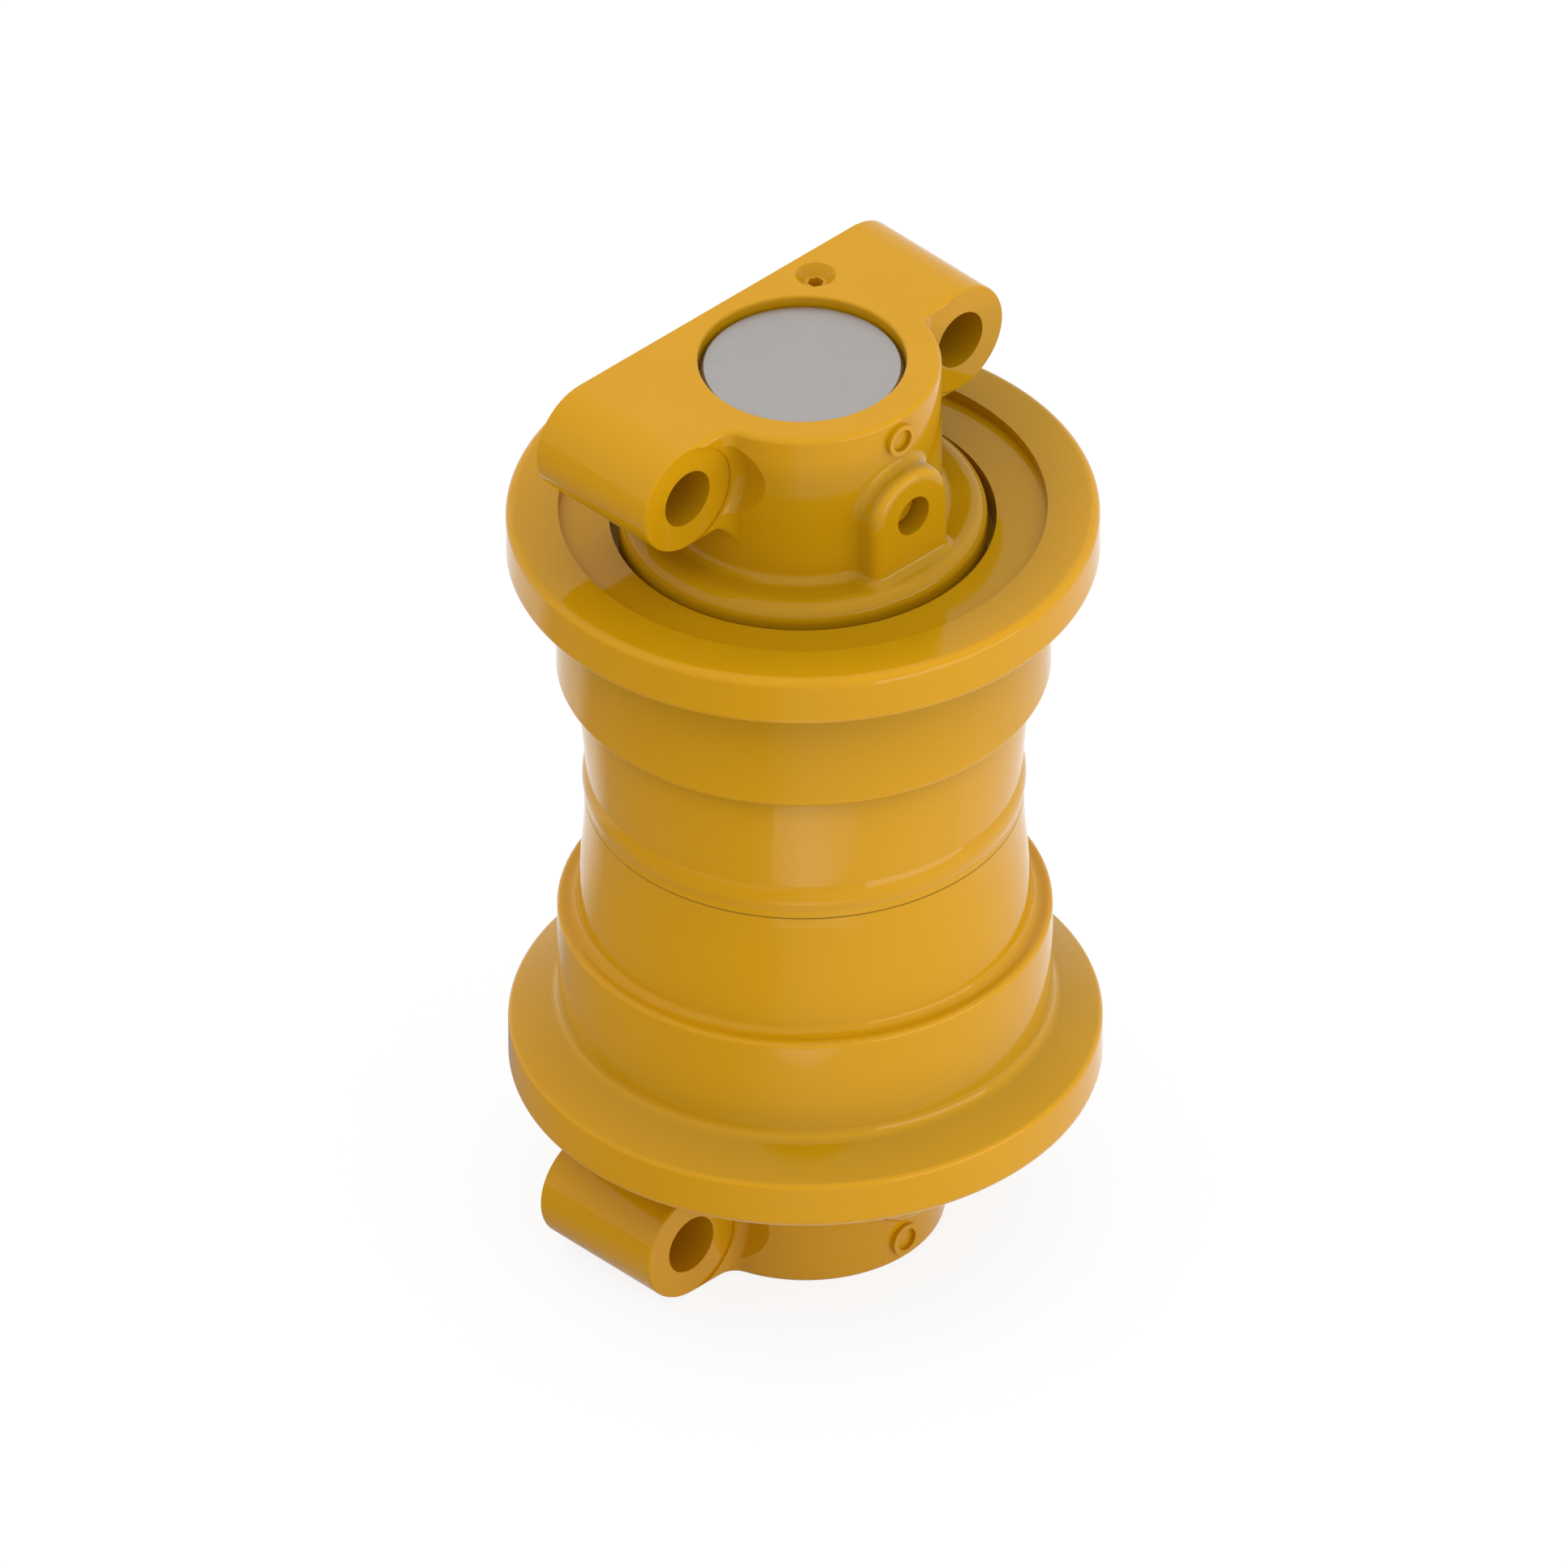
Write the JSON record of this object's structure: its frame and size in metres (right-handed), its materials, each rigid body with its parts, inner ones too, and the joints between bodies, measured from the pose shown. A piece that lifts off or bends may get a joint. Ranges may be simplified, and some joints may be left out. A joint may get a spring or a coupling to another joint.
{
  "type": "track bottom roller",
  "caption": "Flanged undercarriage roller whose waisted shell turns on a fixed shaft held by bolt-on end brackets.",
  "frame": {"origin": "the roller's centre, on the shaft axis halfway between the two end faces", "axes": "+Z along the shaft towards the upper bracket, +X away from the track frame that the brackets bolt to, +Y along the brackets' bolt bars"},
  "size_m": [0.25, 0.25, 0.44],
  "materials": {
    "yellow_paint": "gloss enamel on cast and forged steel",
    "turned_steel": "satin, fine turned",
    "bronze": "machined bearing bronze",
    "seal_iron": "lapped seal iron",
    "seal_rubber": "matt black rubber"
  },
  "bodies": {
    "axle": {"shaft": "turned_steel", "upper_bracket": "yellow_paint", "upper_lock_pin": "yellow_paint", "upper_oil_plug": "yellow_paint", "upper_shaft_o_ring": "seal_rubber", "upper_fixed_seal_ring": "seal_iron", "upper_fixed_toric": "seal_rubber", "lower_bracket": "yellow_paint", "lower_lock_pin": "yellow_paint", "lower_oil_plug": "yellow_paint", "lower_shaft_o_ring": "seal_rubber", "lower_fixed_seal_ring": "seal_iron", "lower_fixed_toric": "seal_rubber"},
    "roller": {"roller_shell_upper": "yellow_paint", "roller_shell_lower": "yellow_paint", "upper_bushing": "bronze", "upper_running_seal_ring": "seal_iron", "upper_running_toric": "seal_rubber", "lower_bushing": "bronze", "lower_running_seal_ring": "seal_iron", "lower_running_toric": "seal_rubber"}
  },
  "joints": [
    {"name": "roller_spin", "type": "hinge", "parent": "axle", "child": "roller", "pos_m": [0, 0, 0], "axis": [0, 0, 1], "continuous": true}
  ]
}
